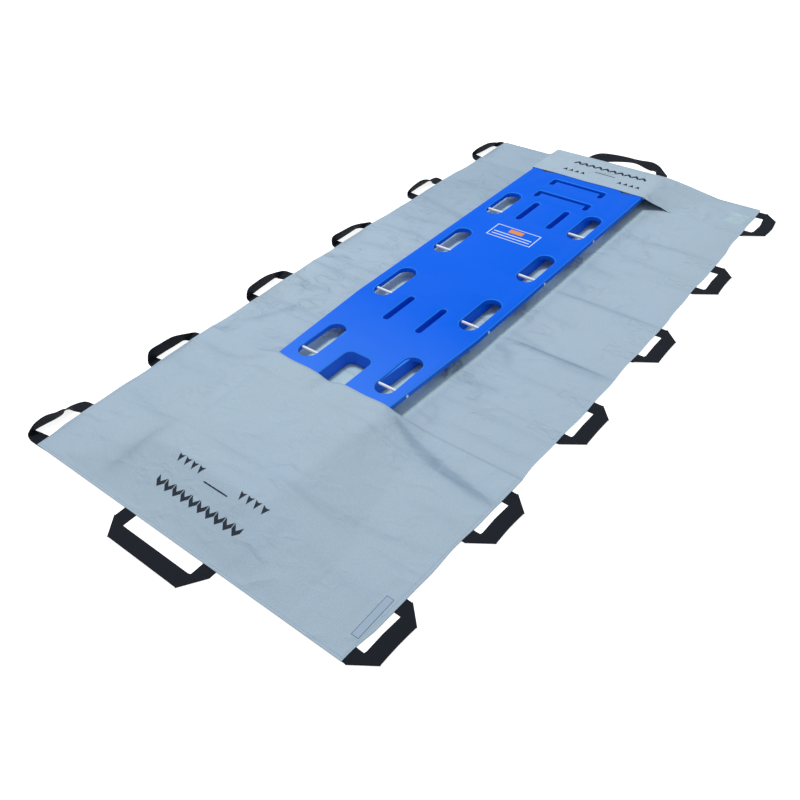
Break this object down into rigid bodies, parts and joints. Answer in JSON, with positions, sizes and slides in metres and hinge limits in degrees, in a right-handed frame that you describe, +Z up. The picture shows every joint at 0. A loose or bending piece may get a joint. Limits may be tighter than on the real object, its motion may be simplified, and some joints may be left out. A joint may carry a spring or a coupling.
{
  "type": "fabric patient carrier",
  "caption": "Nonwoven cloth patient carrier with folding webbing loop handles on all sides and two cloth pockets that hold a rigid spine board.",
  "frame": {"origin": "on the ground, at the middle of the part's box", "axes": "+Y from the foot end to the head end, +X to the right seen from the foot, +Z up"},
  "size_m": [1.0989, 2.1481, 0.0759],
  "materials": {
    "nonwoven_cloth": "pale blue-grey laminated nonwoven cloth, matt, lightly creased",
    "webbing": "near-black woven webbing",
    "thread": "grey-blue sewing thread",
    "board_plastic": "moulded polyethylene, satin gloss",
    "foam": "rigid foam",
    "pin_plastic": "white moulded rod",
    "label_tape": "blank woven label tape"
  },
  "bodies": {
    "carrier": {"base_sheet": "nonwoven_cloth", "foot_pocket": "nonwoven_cloth", "head_pocket": "nonwoven_cloth", "care_label": "label_tape", "handle_stitching": "thread", "pocket_stitching": "thread", "foot_tails": "webbing", "head_tails": "webbing", "left_tails_1": "webbing", "left_tails_2": "webbing", "left_tails_3": "webbing", "left_tails_4": "webbing", "left_tails_5": "webbing", "left_tails_6": "webbing", "right_tails_1": "webbing", "right_tails_2": "webbing", "right_tails_3": "webbing", "right_tails_4": "webbing", "right_tails_5": "webbing", "right_tails_6": "webbing"},
    "board": {"board_shell": "board_plastic", "board_foam_core": "foam", "strap_pins": "pin_plastic"},
    "left_handle_1": {"left_handle_1": "webbing"},
    "left_handle_2": {"left_handle_2": "webbing"},
    "left_handle_3": {"left_handle_3": "webbing"},
    "left_handle_4": {"left_handle_4": "webbing"},
    "left_handle_5": {"left_handle_5": "webbing"},
    "left_handle_6": {"left_handle_6": "webbing"},
    "right_handle_1": {"right_handle_1": "webbing"},
    "right_handle_2": {"right_handle_2": "webbing"},
    "right_handle_3": {"right_handle_3": "webbing"},
    "right_handle_4": {"right_handle_4": "webbing"},
    "right_handle_5": {"right_handle_5": "webbing"},
    "right_handle_6": {"right_handle_6": "webbing"},
    "foot_handle": {"foot_handle": "webbing"},
    "head_handle": {"head_handle": "webbing"}
  },
  "joints": [
    {"name": "board_slide", "type": "slide", "parent": "carrier", "child": "board", "axis": [0, -1, 0], "range_m": [0, 0.155], "deforming": ["foot_pocket"]},
    {"name": "left_handle_1_fold", "type": "hinge", "parent": "carrier", "child": "left_handle_1", "pos_m": [-0.50118, -0.91148, 0.00395], "axis": [-0.0395, 0.9992, 0], "range_deg": [0, 120]},
    {"name": "left_handle_2_fold", "type": "hinge", "parent": "carrier", "child": "left_handle_2", "pos_m": [-0.51249, -0.55796, 0.00395], "axis": [-0.0244, 0.9997, 0], "range_deg": [0, 120]},
    {"name": "left_handle_3_fold", "type": "hinge", "parent": "carrier", "child": "left_handle_3", "pos_m": [-0.51854, -0.19681, 0.00395], "axis": [-0.0091, 1, 0], "range_deg": [0, 120]},
    {"name": "left_handle_4_fold", "type": "hinge", "parent": "carrier", "child": "left_handle_4", "pos_m": [-0.51898, 0.17199, 0.00395], "axis": [0.0067, 1, 0], "range_deg": [0, 120]},
    {"name": "left_handle_5_fold", "type": "hinge", "parent": "carrier", "child": "left_handle_5", "pos_m": [-0.51345, 0.54844, 0.00395], "axis": [0.0227, 0.9997, 0], "range_deg": [0, 120]},
    {"name": "left_handle_6_fold", "type": "hinge", "parent": "carrier", "child": "left_handle_6", "pos_m": [-0.50158, 0.93252, 0.00395], "axis": [0.0391, 0.9992, 0], "range_deg": [0, 120]},
    {"name": "right_handle_1_fold", "type": "hinge", "parent": "carrier", "child": "right_handle_1", "pos_m": [0.47518, -0.91148, 0.00395], "axis": [-0.0395, -0.9992, 0], "range_deg": [0, 165]},
    {"name": "right_handle_2_fold", "type": "hinge", "parent": "carrier", "child": "right_handle_2", "pos_m": [0.48649, -0.55796, 0.00395], "axis": [-0.0244, -0.9997, 0], "range_deg": [0, 165]},
    {"name": "right_handle_3_fold", "type": "hinge", "parent": "carrier", "child": "right_handle_3", "pos_m": [0.49254, -0.19681, 0.00395], "axis": [-0.0091, -1, 0], "range_deg": [0, 165]},
    {"name": "right_handle_4_fold", "type": "hinge", "parent": "carrier", "child": "right_handle_4", "pos_m": [0.49298, 0.17199, 0.00395], "axis": [0.0067, -1, 0], "range_deg": [0, 165]},
    {"name": "right_handle_5_fold", "type": "hinge", "parent": "carrier", "child": "right_handle_5", "pos_m": [0.48745, 0.54844, 0.00395], "axis": [0.0227, -0.9997, 0], "range_deg": [0, 165]},
    {"name": "right_handle_6_fold", "type": "hinge", "parent": "carrier", "child": "right_handle_6", "pos_m": [0.47558, 0.93252, 0.00395], "axis": [0.0391, -0.9992, 0], "range_deg": [0, 165]},
    {"name": "foot_handle_fold", "type": "hinge", "parent": "carrier", "child": "foot_handle", "pos_m": [-0.013, -1.00086, 0.00395], "axis": [-1, 0, 0], "range_deg": [0, 95]},
    {"name": "head_handle_fold", "type": "hinge", "parent": "carrier", "child": "head_handle", "pos_m": [0.007, 1.01164, 0.04206], "axis": [1, 0, 0], "range_deg": [0, 100]}
  ]
}
